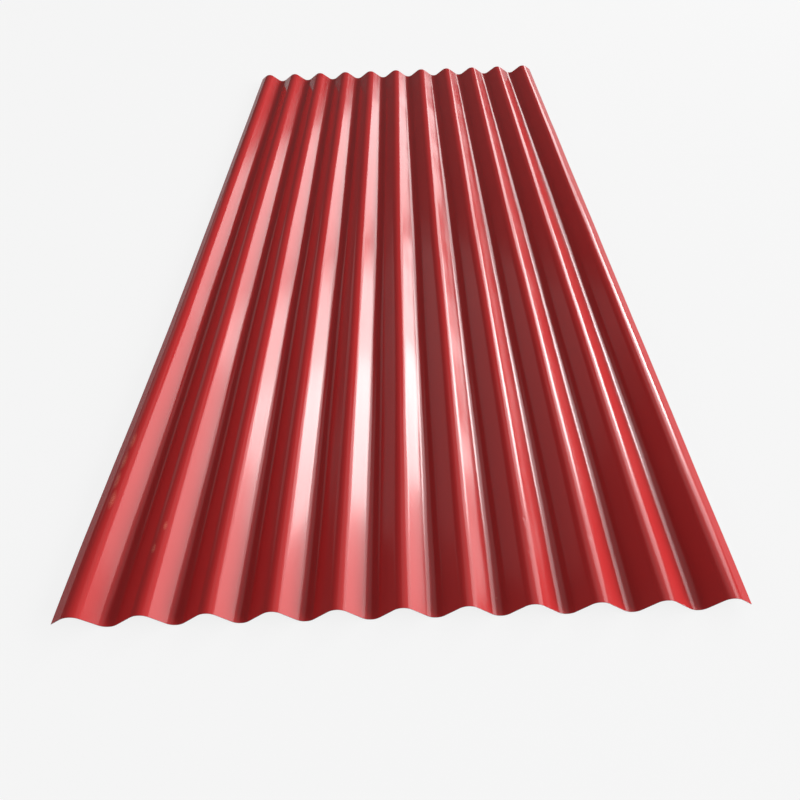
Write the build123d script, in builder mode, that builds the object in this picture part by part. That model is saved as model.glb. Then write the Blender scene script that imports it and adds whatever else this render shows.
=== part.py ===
from build123d import *
from math import cos, radians, sin, tan
import os

# Corrugated roofing and walling sheet, roll-formed from one strip of prepainted steel.
# Sizes are in millimetres. X runs across the waves, Y along them and Z up.
# The origin is on the floor that the valleys rest on, under the middle of the sheet.

# Driving dimensions of the sheet
sheet_length = 2000.0  # along the waves, between the two sheared ends
crest_count = 11  # waves across the sheet, with both side edges turned down
edge_reach = 22.0  # from each outer crest line out to the slit edge of the strip
metal_thickness = 0.5  # steel with its zinc and paint

# Driving dimensions of one rolled wave, measured on the middle of the metal
pitch = 76.0  # crest to crest
depth = 19.0  # valley bottom to crest top
flank_slope = 36.0  # degrees, of the straight flanks between the bends

# The bends that join straight flanks to a crest and a valley at that pitch and depth
half_pitch = pitch / 2
slope = radians(flank_slope)
bend_radius = (half_pitch * tan(slope) - depth) / (2 / cos(slope) - 2)
bend_reach = bend_radius * sin(slope)

# Heights of the middle of the metal, and of the centres that the bends turn about
skin = metal_thickness / 2
valley_z = skin
crest_z = valley_z + depth
crest_centre_z = crest_z - bend_radius
valley_centre_z = valley_z + bend_radius

# Crest lines from left to right, with a valley on each side of every one
crest_xs = [(i - (crest_count - 1) / 2) * pitch for i in range(crest_count)]
valley_xs = [crest_xs[0] - half_pitch] + [x + half_pitch for x in crest_xs]
sheet_width = crest_xs[-1] - crest_xs[0] + 2 * edge_reach


def crest_bend(x, side):
    """Bend over a crest, left to right, on the upper (+1) or lower (-1) face of the metal."""
    return CenterArc((x, crest_centre_z), bend_radius + side * skin, 90 + flank_slope, -2 * flank_slope)


def valley_bend(x, side):
    """Bend through a valley, left to right, about the same centre for both faces."""
    return CenterArc((x, valley_centre_z), bend_radius - side * skin, 270 - flank_slope, 2 * flank_slope)


def rolled_face(side):
    """One face of the metal: every bend from left to right, joined by straight flanks."""
    bends = [valley_bend(valley_xs[0], side)]
    for crest_x, valley_x in zip(crest_xs, valley_xs[1:]):
        bends.append(crest_bend(crest_x, side))
        bends.append(valley_bend(valley_x, side))
    for bend, next_bend in zip(bends, bends[1:]):
        Line(bend @ 1, next_bend @ 0)
    return bends[0] @ 0, bends[-1] @ 1


# The wave section is drawn out to a whole valley past each outer crest,
# then slit to width, and runs the whole length of the sheet
with BuildPart() as corrugated_sheet:
    with BuildSketch(Plane.XZ) as section:
        with BuildLine():
            upper_left, upper_right = rolled_face(1)
            lower_left, lower_right = rolled_face(-1)
            Line(lower_left, upper_left)
            Line(lower_right, upper_right)
        make_face()
        with Locations((0, crest_z / 2)):
            Rectangle(sheet_width, 2 * crest_z, mode=Mode.INTERSECT)
    extrude(amount=sheet_length / 2, both=True)

corrugated_sheet.part.label = "corrugated_sheet"
os.makedirs("parts", exist_ok=True)
export_step(corrugated_sheet.part, "parts/corrugated_sheet.step")

# Flat width of the strip that the section is rolled from
flank_length = (half_pitch - 2 * bend_reach) / cos(slope)
wave_girth = 4 * bend_radius * slope + 2 * flank_length
strip_width = corrugated_sheet.part.volume / sheet_length / metal_thickness
print(f"bend radius {bend_radius:.2f}, flat flank {flank_length:.2f}, girth of a wave {wave_girth:.2f}")
print(f"sheet {sheet_width:.1f} wide and {sheet_length:.1f} long, from a strip {strip_width:.1f} wide")
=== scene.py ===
from math import cos, pi, radians, sin, tan

import bpy
import numpy as np
from bpy.props import FloatProperty, FloatVectorProperty, IntProperty, PointerProperty
from bpy.types import Operator, Panel, PropertyGroup
from mathutils import Matrix, Vector


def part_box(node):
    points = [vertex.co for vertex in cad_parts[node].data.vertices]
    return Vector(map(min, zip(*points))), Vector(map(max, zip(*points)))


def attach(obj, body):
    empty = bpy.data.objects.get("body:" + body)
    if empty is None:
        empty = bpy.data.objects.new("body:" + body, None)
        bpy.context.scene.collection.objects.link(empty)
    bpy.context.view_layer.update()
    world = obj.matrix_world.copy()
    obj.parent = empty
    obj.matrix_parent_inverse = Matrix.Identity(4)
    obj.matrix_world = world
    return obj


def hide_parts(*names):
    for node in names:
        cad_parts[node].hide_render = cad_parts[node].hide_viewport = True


bl_info = {
    "name": "Corrugated Steel Sheet",
    "version": (1, 0, 0),
    "blender": (4, 5, 0),
    "location": "View3D > Sidebar > Corrugated Sheet",
    "description": "Roll-formed roofing sheet in prepainted galvanised steel, with its stage",
    "category": "Object",
}

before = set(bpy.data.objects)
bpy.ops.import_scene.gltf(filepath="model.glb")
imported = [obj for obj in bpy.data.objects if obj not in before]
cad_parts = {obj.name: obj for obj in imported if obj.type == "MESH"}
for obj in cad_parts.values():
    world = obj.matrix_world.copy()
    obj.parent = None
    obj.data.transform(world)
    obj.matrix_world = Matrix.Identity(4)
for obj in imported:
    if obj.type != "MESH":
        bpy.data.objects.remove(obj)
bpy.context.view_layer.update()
CAD_NODE = "corrugated_sheet"
sheet_low, sheet_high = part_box(CAD_NODE)
MM = 0.001

# Dings near the crests on the near right, in mm: place to the right of the middle crest, place from the near
# end, half width, half length and depth
DINGS = (
    (156.5, 137, 2.2, 4.0, 0.28),
    (156.0, 83, 3.0, 5.0, 0.16),
    (234.0, 103, 3.0, 5.0, 0.18),
    (258.5, 86, 2.5, 5.0, 0.18),
)

# Finger marks on the two left crests and a speck near the middle, in mm: place to the right of the middle
# crest, place from the near end, half width and half length
SMUDGES = (
    (-387, 314, 4.0, 20),
    (-389, 271, 4.0, 22),
    (-389, 231, 4.0, 20),
    (-386, 193, 5.0, 20),
    (-304, 142, 3.0, 9),
    (-311, 104, 3.0, 9),
    (111, 25.5, 1.8, 2.2),
)

# The waver's slow waves: how many, and the shortest and longest of them
WAVER_COUNT = 24
WAVER_ACROSS = (50 * MM, 160 * MM)
WAVER_ALONG = (120 * MM, 600 * MM)

# Mesh columns at a ding, how far out they go in half widths, and the narrowest gap between two columns
DING_COLUMNS = 7
DING_COLUMN_REACH = 1.8
LEAST_COLUMN_GAP = 0.3 * MM

# How much denser the mesh rows lie at a ding, in times the usual density on top of it, and how far that
# reaches in half lengths
DING_ROW_DENSITY = 6
DING_ROW_REACH = 1.5

# Lamps: the bearings and the heights that each fills, in degrees, and the brightness of its face. A bright
# soft box stands low on the right, with dimmer light round it that fades out to the far end and upwards.
LAMPS = (
    ("key", (34, 46), (9.5, 24), 9.0),
    ("key left", (27, 34), (8, 24), 3.5),
    ("key skirt", (25, 57), (8, 40), 2.8),
    ("key fade", (15, 25), (4, 25), 2.8),
    ("side", (64, 130), (6, 28), 9.0),
    ("high", (-5, 50), (40, 60), 0.4),
    ("left", (-50, -25), (8, 26), 0.25),
    ("left fill", (-130, -64), (2, 28), 1.5),
    ("overhead", (-27, 27), (63, 117), 0.4),
)


# Colour and node helpers


def linear(hex_colour):
    """A colour written as an sRGB hex value, turned to linear light, with an alpha of 1."""
    channels = [int(hex_colour[i : i + 2], 16) / 255 for i in (0, 2, 4)]
    return tuple(c / 12.92 if c <= 0.04045 else ((c + 0.055) / 1.055) ** 2.4 for c in channels) + (1.0,)


def darker(colour, share):
    """A linear colour with its channels cut to that share, and an alpha of 1."""
    return tuple(share * c for c in colour[:3]) + (1.0,)


def new_material(name):
    """An empty node material with its output, as a material, its tree and the output node."""
    material = bpy.data.materials.new(name)
    material.use_nodes = True
    material.node_tree.nodes.clear()
    return material, material.node_tree, material.node_tree.nodes.new("ShaderNodeOutputMaterial")


def add_node(tree, kind, inputs=None, **settings):
    """Adds a node of that kind, sets its settings, and fills its inputs with values or with links."""
    node = tree.nodes.new(kind)
    for name, value in settings.items():
        setattr(node, name, value)
    for name, value in (inputs or {}).items():
        if isinstance(value, bpy.types.NodeSocket):
            tree.links.new(value, node.inputs[name])
        else:
            node.inputs[name].default_value = value
    return node


# Sizes and colours that a user would change


class RolledSectionSettings(PropertyGroup):
    """The rolled wave, how far it is out of true, and how finely its mesh follows it."""

    crest_count: IntProperty(
        name="Crests",
        description="Waves across the sheet, both edges turned down",
        default=11,
        min=2,
    )
    pitch: FloatProperty(
        name="Pitch",
        description="Crest to crest",
        default=76 * MM,
        unit="LENGTH",
    )
    depth: FloatProperty(
        name="Depth",
        description="Valley bottom to crest top",
        default=19 * MM,
        unit="LENGTH",
    )
    thickness: FloatProperty(
        name="Metal thickness",
        description="Steel with its zinc and paint",
        default=0.5 * MM,
        unit="LENGTH",
    )
    flank_slope: FloatProperty(
        name="Flank slope",
        description="Lean of the straight flanks between the bends",
        default=radians(36),
        subtype="ANGLE",
    )
    bend_steps: IntProperty(
        name="Steps in a bend",
        description="From its top to its flank",
        default=6,
    )
    flank_steps: IntProperty(
        name="Steps in a flank",
        description="Between two bends",
        default=3,
    )
    row_step: FloatProperty(
        name="Row spacing",
        description="Along the waves, away from dings",
        default=17 * MM,
        unit="LENGTH",
    )
    edge_rounding: FloatProperty(
        name="Edge rounding",
        description="Roll-over left by the shear",
        default=0.08 * MM,
        unit="LENGTH",
    )
    waver: FloatProperty(
        name="Waver",
        description="Usual tilt of the rolled metal out of true",
        default=0.006,
        subtype="ANGLE",
    )
    seed: IntProperty(
        name="Seed",
        description="Picks the waver",
        default=7,
    )
    spread: FloatProperty(
        name="Spread",
        description="How far the near left corner is pulled out",
        default=9 * MM,
        unit="LENGTH",
    )
    spread_width: FloatProperty(
        name="Spread width",
        description="From the left edge inwards",
        default=174 * MM,
        unit="LENGTH",
    )
    spread_length: FloatProperty(
        name="Spread length",
        description="From the near end to where it has mostly gone",
        default=450 * MM,
        unit="LENGTH",
    )


class CoatingSettings(PropertyGroup):
    """Colours and gloss of the two paint coats, of what lies on them and of the cut edge."""

    topcoat: FloatVectorProperty(
        name="Topcoat",
        description="Red polyester coat",
        size=4,
        subtype="COLOR",
        default=linear("C32F30"),
    )
    topcoat_dusty: FloatVectorProperty(
        name="Topcoat, dusty",
        description="Where fine dust lies",
        size=4,
        subtype="COLOR",
        default=linear("BE4744"),
    )
    grime: FloatVectorProperty(
        name="Grime",
        description="Dried finger marks",
        size=4,
        subtype="COLOR",
        default=linear("EC8A74"),
    )
    topcoat_roughness: FloatProperty(
        name="Topcoat roughness",
        description="Gloss of the red coat",
        default=0.14,
    )
    backing: FloatVectorProperty(
        name="Backing coat",
        description="Grey primer underneath",
        size=4,
        subtype="COLOR",
        default=linear("A9ABA8"),
    )
    zinc: FloatVectorProperty(
        name="Cut edge",
        description="Bare steel and zinc",
        size=4,
        subtype="COLOR",
        default=linear("C9CCCF"),
    )


class StageSettings(PropertyGroup):
    """Camera, lamps and floor."""

    camera_side: FloatProperty(
        name="Camera side",
        description="Right of the sheet's middle line",
        default=19 * MM,
        unit="LENGTH",
    )
    camera_stand_off: FloatProperty(
        name="Camera stand-off",
        description="In front of the near end",
        default=623.5 * MM,
        unit="LENGTH",
    )
    camera_height: FloatProperty(
        name="Camera height",
        description="Above the middle of the waves",
        default=799.6 * MM,
        unit="LENGTH",
    )
    camera_down: FloatProperty(
        name="Camera down",
        description="Tilt below the horizon",
        default=radians(37.95),
        subtype="ANGLE",
    )
    camera_yaw: FloatProperty(
        name="Camera yaw",
        description="Turn to the right of the waves",
        default=radians(-1.07),
        subtype="ANGLE",
    )
    camera_roll: FloatProperty(
        name="Camera roll",
        description="Lean of the camera's top to the left",
        default=radians(-2.50),
        subtype="ANGLE",
    )
    lens: FloatProperty(
        name="Lens",
        description="Focal length in mm",
        default=38.25,
    )
    sensor: FloatProperty(
        name="Sensor",
        description="Width of the camera's sensor in mm",
        default=36,
    )
    floor: FloatVectorProperty(
        name="Floor",
        description="Pale matt floor",
        size=4,
        subtype="COLOR",
        default=linear("CFCFCF"),
    )
    floor_size: FloatProperty(
        name="Floor size",
        description="Side of the floor",
        default=60,
        unit="LENGTH",
    )
    floor_glow: FloatProperty(
        name="Floor glow",
        description="Share of plain white in the seen floor",
        default=0.85,
    )
    lamp_distance: FloatProperty(
        name="Lamp distance",
        description="From the sheet's middle to each lamp",
        default=10,
        unit="LENGTH",
    )
    ambient: FloatProperty(
        name="Ambient",
        description="Strength of the even light all round",
        default=0.07,
    )
    backdrop: FloatProperty(
        name="Backdrop",
        description="Brightness of the seen surroundings",
        default=0.92,
    )


# The rolled sheet


class RolledSection:
    """Section of the metal, all sizes in metres, worked out from the pitch, the depth and the flanks' slope.

    Arc length runs across the flat strip from the middle crest, and the level is 1 on the upper face
    and -1 on the lower one. Half a wave is a crest bend, a straight flank and a valley bend, which all
    meet on shared tangents, so the bend radius follows from
    (half pitch x tan slope - depth) / (2 / cos slope - 2).
    """

    def __init__(self, settings, low, high):
        self.crest_count = settings.crest_count
        self.slope = settings.flank_slope
        self.skin = settings.thickness / 2
        self.half_pitch = settings.pitch / 2
        self.depth = settings.depth
        self.bottom = low.z
        self.radius = (self.half_pitch * tan(self.slope) - self.depth) / (2 / cos(self.slope) - 2)
        self.bend = self.radius * self.slope
        self.flank = (self.half_pitch - 2 * self.radius * sin(self.slope)) / cos(self.slope)
        self.half_girth = 2 * self.bend + self.flank
        # The slit edge is on the outermost flank, and its upper corner, which leans out, is at the box's side
        outer_crest = (self.crest_count - 1) * self.half_pitch
        reach = high.x - outer_crest - self.skin * sin(self.slope)
        flat_reach = (reach - self.radius * sin(self.slope)) / cos(self.slope)
        self.edge = (self.crest_count - 1) * self.half_girth + self.bend + flat_reach

    def points(self, across):
        """Sideways place, height and turn down to the right of the metal's middle, at arc lengths across.

        The arc length is folded into half a wave, counted down from its crest. On a bend the turn is the
        arc length over the radius, and on the flank it stays at the slope. Sideways is the radius times the
        sine of the turn, the drop is the radius times one minus its cosine, and the valley half is the
        crest half turned upside down.
        """
        wave = np.round(across / (2 * self.half_girth))
        local = across - wave * 2 * self.half_girth
        side = np.where(local < 0, -1.0, 1.0)
        down = np.abs(local)
        in_crest = down < self.bend
        in_valley = down > self.bend + self.flank
        turn = np.where(in_crest, down / self.radius, self.slope)
        turn = np.where(in_valley, (self.half_girth - down) / self.radius, turn)
        bend_out = self.radius * np.sin(turn)
        bend_drop = self.radius * (1 - np.cos(turn))
        past = np.where(in_crest | in_valley, 0.0, down - self.bend)
        out = bend_out + past * np.cos(self.slope)
        drop = bend_drop + past * np.sin(self.slope)
        out = np.where(in_valley, self.half_pitch - bend_out, out)
        drop = np.where(in_valley, self.depth - bend_drop, drop)
        x = wave * 2 * self.half_pitch + side * out
        z = self.bottom + self.skin + self.depth - drop
        return x, z, side * turn

    def arc_length(self, place, fineness=20001):
        """The arc length at a sideways place, read off a fine table of the section."""
        fine = np.linspace(-self.edge, self.edge, fineness)
        return np.interp(place, self.points(fine)[0], fine)

    def columns(self, bend_steps, flank_steps, dents):
        """Arc lengths of the mesh columns, with one on every crest, valley and tangent, and more at dents.

        A column too close to the one before it is left out, as is one that lies nearer to the slit edge
        than two fifths of a flank step.
        """
        bend = np.linspace(0, self.bend, bend_steps + 1)[:-1]
        flank = self.bend + np.linspace(0, self.flank, flank_steps + 1)[:-1]
        valley = self.half_girth - np.linspace(self.bend, 0, bend_steps + 1)[:-1]
        half = np.concatenate([bend, flank, valley])
        whole = np.concatenate([half, 2 * self.half_girth - half[::-1]])
        waves = np.arange(-self.crest_count, self.crest_count + 1)
        every = [(waves[:, None] * 2 * self.half_girth + whole).ravel()]
        for s0, _, half_width, _, _ in dents:
            every.append(s0 + half_width * np.linspace(-DING_COLUMN_REACH, DING_COLUMN_REACH, DING_COLUMNS))
        every = np.sort(np.concatenate(every))
        every = every[np.append(True, np.diff(every) > LEAST_COLUMN_GAP)]
        spare = 0.4 * self.flank / flank_steps
        inside = every[np.abs(every) < self.edge - spare]
        return np.concatenate([[-self.edge], inside, [self.edge]])


class Unevenness:
    """How far the rolled metal lies above its true section, in metres, along its own normal.

    It is a sum of slow cosine waves, whose heights share the usual tilt out between them, and of dents,
    each a depth times a bell curve across and along. The slopes are the formula's own derivatives, so
    the shading normals follow them exactly. A dent is its arc length, its place along the sheet, its
    half width, its half length and its depth, in metres.
    """

    def __init__(self, tilt, seed, dents):
        rng = np.random.default_rng(seed)
        along = 2 * pi / rng.uniform(*WAVER_ALONG, WAVER_COUNT)
        across = 2 * pi / rng.uniform(*WAVER_ACROSS, WAVER_COUNT) * rng.choice([-1, 1], WAVER_COUNT)
        self.waves = np.stack([across, along, rng.uniform(0, 2 * pi, WAVER_COUNT)], 1)
        self.heights = tilt * np.sqrt(2 / WAVER_COUNT) / np.hypot(across, along)
        self.dents = dents

    def __call__(self, s, y):
        """The height and its slopes across and along, at arc lengths s and places y along the sheet."""
        h, h_s, h_y = np.zeros_like(s), np.zeros_like(s), np.zeros_like(s)
        for (across, along, phase), height in zip(self.waves, self.heights):
            angle = across * s + along * y + phase
            h += height * np.cos(angle)
            h_s -= height * across * np.sin(angle)
            h_y -= height * along * np.sin(angle)
        for s0, y0, half_width, half_length, depth in self.dents:
            u, v = (s - s0) / half_width, (y - y0) / half_length
            bell = -depth * np.exp(-(u * u + v * v))
            h += bell
            h_s -= 2 * u / half_width * bell
            h_y -= 2 * v / half_length * bell
        return h, h_s, h_y


class CornerSpread:
    """How far the near left corner is pulled out sideways, in metres, with the slopes of that shift.

    The shift is the spread times the square of the share of the spread's width that lies between a
    point and where it starts, times a bell curve over the distance from the near end.
    """

    def __init__(self, settings, low):
        self.amount = settings.spread
        self.width = settings.spread_width
        self.length = settings.spread_length
        self.start = low.x + settings.spread_width
        self.near_end = low.y

    def __call__(self, x, y):
        """The shift and its slopes sideways and along, at places x and y."""
        share = np.clip((self.start - x) / self.width, 0, None)
        along = (y - self.near_end) / self.length
        bell = np.exp(-along * along)
        shift = -self.amount * share**2 * bell
        return shift, 2 * self.amount * share / self.width * bell, -2 * along / self.length * shift


def metal_surface(section, uneven, corner, s, y, level):
    """Points and upward normals of the metal at arc lengths s and places y, at a level of its thickness.

    The point is the section's middle, moved along the section's normal by the level's share of half the
    thickness and by the unevenness. The normal is the section's, less each slope times its direction.
    The corner's shift then moves the point sideways. It divides the normal's sideways part by one plus
    its sideways slope, and takes its slope along, times that part, from the part along.
    """
    x, z, turn = section.points(s)
    normal = np.stack([np.sin(turn), np.zeros_like(turn), np.cos(turn)], -1)
    tangent = np.stack([np.cos(turn), np.zeros_like(turn), -np.sin(turn)], -1)
    lift, slope_s, slope_y = uneven(s, y)
    middle = np.stack([x, y, z], -1)
    points = middle + normal * (level * section.skin + lift)[..., None]
    bent = normal - tangent * slope_s[..., None] - np.array([0.0, 1.0, 0.0]) * slope_y[..., None]
    shift, shift_x, shift_y = corner(points[..., 0], points[..., 1])
    points[..., 0] += shift
    bent[..., 0] /= 1 + shift_x
    bent[..., 1] -= shift_y * bent[..., 0]
    return points, bent / np.linalg.norm(bent, axis=-1, keepdims=True)


def row_places(low, high, step, dents, fineness=8001):
    """Places of the mesh rows along the sheet, closer together near its dents.

    The rows are evenly spaced in the running total of a density, which is 1 plus a bell at every dent.
    """
    fine = np.linspace(low, high, fineness)
    density = np.ones_like(fine)
    for _, y0, _, half_length, _ in dents:
        density += DING_ROW_DENSITY * np.exp(-(((fine - y0) / (DING_ROW_REACH * half_length)) ** 2))
    total = np.concatenate([[0], np.cumsum((density[1:] + density[:-1]) / 2 * np.diff(fine))])
    count = int(round(total[-1] / step)) + 1
    return np.interp(np.linspace(0, total[-1], count), total, fine)


def closed_sheet(section, uneven, corner, columns, rows, rounding):
    """Points, quads, material of each quad and corner normals of the closed sheet.

    Both faces are grids over arc length and length. Between their outer rings lie two more rings, out at
    the cut edge, so that the edge has a roll-over above and below its sheared face. A ring's points are
    the same grid border, pushed in by an inset and set at its own level of the thickness.
    """
    n_rows, n_columns = len(rows), len(columns)
    cells = np.arange(n_rows * n_columns).reshape(n_rows, n_columns)
    border = np.concatenate([cells[0, :-1], cells[:-1, -1], cells[-1, :0:-1], cells[:0:-1, 0]])

    def inset_grid(inset):
        """The grid of arc lengths and places along, with its border pushed in by the inset."""
        s = np.clip(columns, columns[0] + inset, columns[-1] - inset)
        y = np.clip(rows, rows[0] + inset, rows[-1] - inset)
        return np.meshgrid(s, y)

    soft_level = 1 - rounding / section.skin
    upper, upper_normal = metal_surface(section, uneven, corner, *inset_grid(rounding), 1.0)
    lower, lower_normal = metal_surface(section, uneven, corner, *inset_grid(rounding), -1.0)
    rings = []
    for level in (soft_level, -soft_level):
        edge, _ = metal_surface(section, uneven, corner, *inset_grid(0.0), level)
        rings.append(edge.reshape(-1, 3)[border])
    points = np.concatenate([upper.reshape(-1, 3), lower.reshape(-1, 3), *rings])
    # The uneven sheet stands on its lowest valleys
    points[:, 2] += section.bottom - points[:, 2].min()

    top = np.stack([cells[:-1, :-1], cells[:-1, 1:], cells[1:, 1:], cells[1:, :-1]], -1).reshape(-1, 4)
    bottom = top[:, ::-1] + cells.size
    ring_a = 2 * cells.size + np.arange(border.size)
    ring_b = ring_a + border.size
    strips = []
    for over, under in ((border, ring_a), (ring_a, ring_b), (ring_b, border + cells.size)):
        strips.append(np.stack([over, under, np.roll(under, -1), np.roll(over, -1)], -1))
    rim = np.concatenate(strips)
    quads = np.concatenate([top, bottom, rim])
    kinds = np.repeat([0, 1, 2], [len(top), len(bottom), len(rim)])

    # Both faces are shaded by the metal's own normals, and the rim is shaded flat
    face_normals = np.concatenate([upper_normal.reshape(-1, 3), -lower_normal.reshape(-1, 3)])
    smooth = face_normals[np.concatenate([top, bottom]).ravel()]
    corners = points[rim]
    flat = np.cross(corners[:, 2] - corners[:, 0], corners[:, 3] - corners[:, 1])
    flat /= np.linalg.norm(flat, axis=1, keepdims=True)
    corner_normals = np.concatenate([smooth, np.repeat(flat, 4, axis=0)])
    return points, quads, kinds, corner_normals


def add_mesh(name, points, quads, kinds, corner_normals, materials):
    """Puts points and quads into a new mesh object at the origin, with its materials and its normals."""
    mesh = bpy.data.meshes.new(name)
    mesh.from_pydata(points.tolist(), [], quads.tolist())
    for material in materials:
        mesh.materials.append(material)
    mesh.polygons.foreach_set("material_index", kinds.astype(np.int32))
    mesh.polygons.foreach_set("use_smooth", np.ones(len(quads), bool))
    mesh.update()
    mesh.normals_split_custom_set(corner_normals.tolist())
    piece = bpy.data.objects.new(name, mesh)
    bpy.context.scene.collection.objects.link(piece)
    return piece


# Materials, each named for what the real one is


def smudge_mask(tree, place, smudges):
    """How much grime lies at a place, from 0 to 1, as a socket.

    Each smudge is an oval with a soft border: it is whole up to 0.3 of its half sizes and gone at their
    ends. The mask is the greatest of them all.
    """
    mask = 0.0
    for x, y, half_width, half_length in smudges:
        centre = (x * MM, sheet_low.y + y * MM, 0)
        per_size = (1 / (half_width * MM), 1 / (half_length * MM), 0)
        apart = add_node(tree, "ShaderNodeVectorMath", {0: place, 1: centre}, operation="SUBTRACT")
        shares = add_node(
            tree, "ShaderNodeVectorMath", {0: apart.outputs[0], 1: per_size}, operation="MULTIPLY"
        )
        reach = add_node(tree, "ShaderNodeVectorMath", {0: shares.outputs[0]}, operation="LENGTH")
        oval = add_node(
            tree,
            "ShaderNodeMapRange",
            {
                "Value": reach.outputs["Value"],
                "From Min": 0.3,
                "From Max": 1.0,
                "To Min": 1.0,
                "To Max": 0.0,
            },
        )
        greatest = add_node(tree, "ShaderNodeMath", {0: mask, 1: oval.outputs[0]}, operation="MAXIMUM")
        mask = greatest.outputs[0]
    return mask


def polyester_topcoat(coating):
    """Red polyester coil coat, roller applied and baked: smooth and glossy, with a very fine orange peel.

    Faint streaks run along the waves, where the rolls rubbed it, a little dust lies on it, and a few
    fingers have left pale marks.
    """
    material, tree, output = new_material("Red polyester coil coat")
    place = add_node(tree, "ShaderNodeTexCoord").outputs["Object"]
    # Roll marks are about 3 mm wide and 400 mm long
    per_streak = (1 / (3 * MM), 1 / (400 * MM), 1 / (3 * MM))
    streak_place = add_node(tree, "ShaderNodeMapping", {"Vector": place, "Scale": per_streak})
    streaks = add_node(
        tree, "ShaderNodeTexNoise", {"Vector": streak_place.outputs[0], "Scale": 1.0, "Detail": 3.0}
    )
    # Dust gathers in soft patches about 120 mm across
    dust = add_node(
        tree, "ShaderNodeTexNoise", {"Vector": place, "Scale": 1 / (120 * MM), "Detail": 5.0}
    )
    dusty = add_node(
        tree,
        "ShaderNodeMapRange",
        {
            "Value": dust.outputs["Fac"],
            "From Min": 0.45,
            "From Max": 0.8,
            "To Min": 0.0,
            "To Max": 0.25,
        },
    )
    streaked = add_node(
        tree, "ShaderNodeMath", {0: dusty.outputs[0], 1: streaks.outputs["Fac"]}, operation="MULTIPLY"
    )
    dusted_colour = add_node(
        tree,
        "ShaderNodeMix",
        {"Factor": streaked.outputs[0], 6: tuple(coating.topcoat), 7: tuple(coating.topcoat_dusty)},
        data_type="RGBA",
    )
    # Dried finger marks, broken up into grains about 2 mm across
    grains = add_node(
        tree, "ShaderNodeTexNoise", {"Vector": place, "Scale": 1 / (2 * MM), "Detail": 2.0}
    )
    broken = add_node(
        tree,
        "ShaderNodeMapRange",
        {
            "Value": grains.outputs["Fac"],
            "From Min": 0.4,
            "From Max": 0.65,
            "To Min": 0.2,
            "To Max": 0.6,
        },
    )
    mask = smudge_mask(tree, place, SMUDGES)
    marked = add_node(tree, "ShaderNodeMath", {0: mask, 1: broken.outputs[0]}, operation="MULTIPLY")
    colour = add_node(
        tree,
        "ShaderNodeMix",
        {"Factor": marked.outputs[0], 6: dusted_colour.outputs[2], 7: tuple(coating.grime)},
        data_type="RGBA",
    )
    # The streaks make the coat rougher or smoother by this much
    rubbing = 0.03
    rough = add_node(
        tree,
        "ShaderNodeMapRange",
        {
            "Value": streaks.outputs["Fac"],
            "From Min": 0.3,
            "From Max": 0.7,
            "To Min": coating.topcoat_roughness - rubbing,
            "To Max": coating.topcoat_roughness + rubbing,
        },
    )
    # Orange peel of baked coil coat is about 1.5 mm across
    peel = add_node(
        tree, "ShaderNodeTexNoise", {"Vector": place, "Scale": 1 / (1.5 * MM), "Detail": 1.0}
    )
    bump = add_node(
        tree,
        "ShaderNodeBump",
        {"Height": peel.outputs["Fac"], "Strength": 0.02, "Distance": 0.3 * MM},
    )
    paint = add_node(
        tree,
        "ShaderNodeBsdfPrincipled",
        {
            "Base Color": colour.outputs[2],
            "Roughness": rough.outputs[0],
            "IOR": 1.5,
            "Normal": bump.outputs["Normal"],
        },
    )
    tree.links.new(paint.outputs[0], output.inputs["Surface"])
    return material


def backing_coat(coating):
    """Thin grey epoxy backing coat on the underside: matt, and a little uneven from the roller."""
    material, tree, output = new_material("Grey epoxy backing coat")
    place = add_node(tree, "ShaderNodeTexCoord").outputs["Object"]
    # The roller leaves patches about 50 mm across
    patches = add_node(
        tree, "ShaderNodeTexNoise", {"Vector": place, "Scale": 1 / (50 * MM), "Detail": 6.0}
    )
    pale = tuple(coating.backing)
    colour = add_node(
        tree,
        "ShaderNodeMix",
        {"Factor": patches.outputs["Fac"], 6: darker(pale, 0.82), 7: pale},
        data_type="RGBA",
    )
    paint = add_node(
        tree,
        "ShaderNodeBsdfPrincipled",
        {"Base Color": colour.outputs[2], "Roughness": 0.5, "IOR": 1.5},
    )
    tree.links.new(paint.outputs[0], output.inputs["Surface"])
    return material


def sheared_steel(coating):
    """Bare steel and zinc where the shear cut the strip: bright, with fine marks across the thickness."""
    material, tree, output = new_material("Sheared galvanised steel")
    place = add_node(tree, "ShaderNodeTexCoord").outputs["Object"]
    # Shear marks are about 0.3 mm apart, drawn 0.8 mm apart so that they show
    marks = add_node(
        tree, "ShaderNodeTexNoise", {"Vector": place, "Scale": 1 / (0.8 * MM), "Detail": 3.0}
    )
    bright = tuple(coating.zinc)
    colour = add_node(
        tree,
        "ShaderNodeMix",
        {"Factor": marks.outputs["Fac"], 6: darker(bright, 0.55), 7: bright},
        data_type="RGBA",
    )
    steel = add_node(
        tree,
        "ShaderNodeBsdfPrincipled",
        {"Base Color": colour.outputs[2], "Metallic": 1.0, "Roughness": 0.45},
    )
    tree.links.new(steel.outputs[0], output.inputs["Surface"])
    return material


def pale_floor(colour, glow_share):
    """Matt pale floor that the camera sees near white, and that keeps the sheet's shadow."""
    material, tree, output = new_material("Matt pale floor")
    matt = add_node(tree, "ShaderNodeBsdfDiffuse", {"Color": tuple(colour)})
    glow = add_node(tree, "ShaderNodeEmission", {"Color": (1, 1, 1, 1), "Strength": 1.0})
    rays = add_node(tree, "ShaderNodeLightPath")
    share = add_node(
        tree, "ShaderNodeMath", {0: rays.outputs["Is Camera Ray"], 1: glow_share}, operation="MULTIPLY"
    )
    mixed = add_node(
        tree, "ShaderNodeMixShader", {0: share.outputs[0], 1: matt.outputs[0], 2: glow.outputs[0]}
    )
    tree.links.new(mixed.outputs[0], output.inputs["Surface"])
    return material


# The stage


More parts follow.
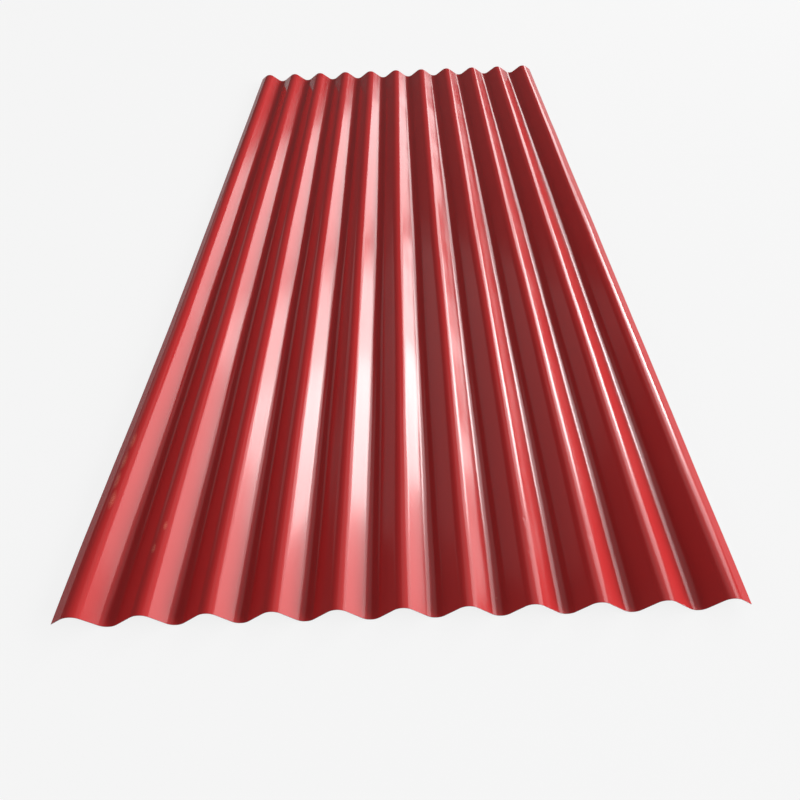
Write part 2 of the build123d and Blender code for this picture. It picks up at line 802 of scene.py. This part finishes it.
def add_floor(stage):
    """The square floor under the sheet, centred on it."""
    half = stage.floor_size / 2
    corners = [(-half, -half, 0), (half, -half, 0), (half, half, 0), (-half, half, 0)]
    mesh = bpy.data.meshes.new("floor")
    mesh.from_pydata(corners, [], [(0, 1, 2, 3)])
    mesh.materials.append(pale_floor(stage.floor, stage.floor_glow))
    floor = bpy.data.objects.new("floor", mesh)
    bpy.context.scene.collection.objects.link(floor)


def add_soft_lamp(name, bearings, heights, distance, brightness):
    """A soft lamp that faces the sheet's middle and fills a span of bearings and of heights, in degrees.

    Bearings run clockwise from the sheet's length, seen from above, and heights up from the floor. The
    lamp's size is twice the distance times the tangent of half of each span. Away from straight overhead
    the width is multiplied by the cosine of the height. The power is the area times pi times the
    brightness of the lamp's face.
    """
    bearing = radians(sum(bearings) / 2)
    height = radians(sum(heights) / 2)
    place = distance * Vector((cos(height) * sin(bearing), cos(height) * cos(bearing), sin(height)))
    lamp = bpy.data.lights.new(name, "AREA")
    lamp.shape = "RECTANGLE"
    width = 2 * distance * tan(radians(bearings[1] - bearings[0]) / 2)
    if height < pi / 2:
        width *= cos(height)
    length = 2 * distance * tan(radians(heights[1] - heights[0]) / 2)
    lamp.size, lamp.size_y = width, length
    lamp.energy = brightness * pi * width * length
    lamp_object = bpy.data.objects.new(name, lamp)
    lamp_object.location = place
    lamp_object.rotation_euler = (Vector((0, 0, 0)) - place).to_track_quat("-Z", "Y").to_euler()
    lamp_object.visible_camera = False
    bpy.context.scene.collection.objects.link(lamp_object)


def even_surroundings(stage):
    """A world of weak even light, which the camera alone sees as near white as the floor."""
    world = bpy.data.worlds.new("Even studio light")
    world.use_nodes = True
    background = world.node_tree.nodes["Background"]
    background.inputs["Color"].default_value = (1, 1, 1, 1)
    rays = add_node(world.node_tree, "ShaderNodeLightPath")
    strength = add_node(
        world.node_tree,
        "ShaderNodeMapRange",
        {"Value": rays.outputs["Is Camera Ray"], "To Min": stage.ambient, "To Max": stage.backdrop},
    )
    world.node_tree.links.new(strength.outputs[0], background.inputs["Strength"])
    return world


def photo_camera(stage):
    """The camera in front of the near end, turned by its yaw, then tilted down, then rolled.

    Ahead follows the yaw and the tilt, level lies flat and square to it, and upright is square to both.
    The roll turns level and upright into right and up, by its cosine and its sine.
    """
    camera = bpy.data.objects.new("camera", bpy.data.cameras.new("camera"))
    bpy.context.scene.collection.objects.link(camera)
    yaw, down, roll = stage.camera_yaw, stage.camera_down, stage.camera_roll
    ahead = Vector((sin(yaw) * cos(down), cos(yaw) * cos(down), -sin(down)))
    level = Vector((cos(yaw), -sin(yaw), 0))
    upright = level.cross(ahead)
    right = cos(roll) * level + sin(roll) * upright
    up = -sin(roll) * level + cos(roll) * upright
    turn = Matrix((right, up, -ahead)).transposed()
    near = sheet_low.y - stage.camera_stand_off
    above = (sheet_low.z + sheet_high.z) / 2 + stage.camera_height
    place = Vector((stage.camera_side, near, above))
    camera.matrix_world = Matrix.Translation(place) @ turn.to_4x4()
    camera.data.sensor_width = stage.sensor
    camera.data.lens = stage.lens
    return camera


# Operators


class SHEET_OT_roll_form(Operator):
    """Roll-form the painted sheet with its crests, flanks, valleys, dings and cut edges"""

    bl_idname = "sheet.roll_form"
    bl_label = "Roll-form the sheet"

    def execute(self, context):
        rolled, coating = context.scene.rolled_section, context.scene.sheet_coating
        section = RolledSection(rolled, sheet_low, sheet_high)
        # A dent is a ding on the flat strip, in metres
        dents = [
            (section.arc_length(x * MM), sheet_low.y + y * MM, width * MM, length * MM, depth * MM)
            for x, y, width, length, depth in DINGS
        ]
        uneven = Unevenness(rolled.waver, rolled.seed, dents)
        corner = CornerSpread(rolled, sheet_low)
        columns = section.columns(rolled.bend_steps, rolled.flank_steps, dents)
        rows = row_places(sheet_low.y, sheet_high.y, rolled.row_step, dents)
        shell = closed_sheet(section, uneven, corner, columns, rows, rolled.edge_rounding)
        materials = [polyester_topcoat(coating), backing_coat(coating), sheared_steel(coating)]
        piece = add_mesh("rolled_sheet", *shell, materials)
        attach(piece, "root")
        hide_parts(CAD_NODE)
        return {"FINISHED"}


class SHEET_OT_set_stage(Operator):
    """Set the pale floor, the soft lamps and the camera that looks down on the near end"""

    bl_idname = "sheet.set_stage"
    bl_label = "Set the stage"

    def execute(self, context):
        stage = context.scene.sheet_stage
        add_floor(stage)
        for name, bearings, heights, brightness in LAMPS:
            add_soft_lamp(name, bearings, heights, stage.lamp_distance, brightness)
        context.scene.world = even_surroundings(stage)
        context.scene.camera = photo_camera(stage)
        context.scene.view_settings.view_transform = "Standard"
        return {"FINISHED"}


class SHEET_PT_parts(Panel):
    """The sizes and colours, and the steps that make the sheet and its stage"""

    bl_label = "Corrugated Sheet"
    bl_idname = "SHEET_PT_parts"
    bl_space_type = "VIEW_3D"
    bl_region_type = "UI"
    bl_category = "Corrugated Sheet"

    def draw(self, context):
        scene = context.scene
        for settings in (scene.rolled_section, scene.sheet_coating, scene.sheet_stage):
            box = self.layout.box()
            for name in type(settings).__annotations__:
                box.prop(settings, name)
        self.layout.operator(SHEET_OT_roll_form.bl_idname)
        self.layout.operator(SHEET_OT_set_stage.bl_idname)


CLASSES = (
    RolledSectionSettings,
    CoatingSettings,
    StageSettings,
    SHEET_OT_roll_form,
    SHEET_OT_set_stage,
    SHEET_PT_parts,
)


def register():
    """Registers the classes, and hangs the settings on the scene."""
    for cls in CLASSES:
        bpy.utils.register_class(cls)
    bpy.types.Scene.rolled_section = PointerProperty(type=RolledSectionSettings)
    bpy.types.Scene.sheet_coating = PointerProperty(type=CoatingSettings)
    bpy.types.Scene.sheet_stage = PointerProperty(type=StageSettings)


def unregister():
    """Takes the settings off the scene, and the classes out again."""
    del bpy.types.Scene.sheet_stage
    del bpy.types.Scene.sheet_coating
    del bpy.types.Scene.rolled_section
    for cls in reversed(CLASSES):
        bpy.utils.unregister_class(cls)


def main():
    register()
    bpy.ops.sheet.roll_form()
    bpy.ops.sheet.set_stage()


if __name__ == "__main__":
    main()
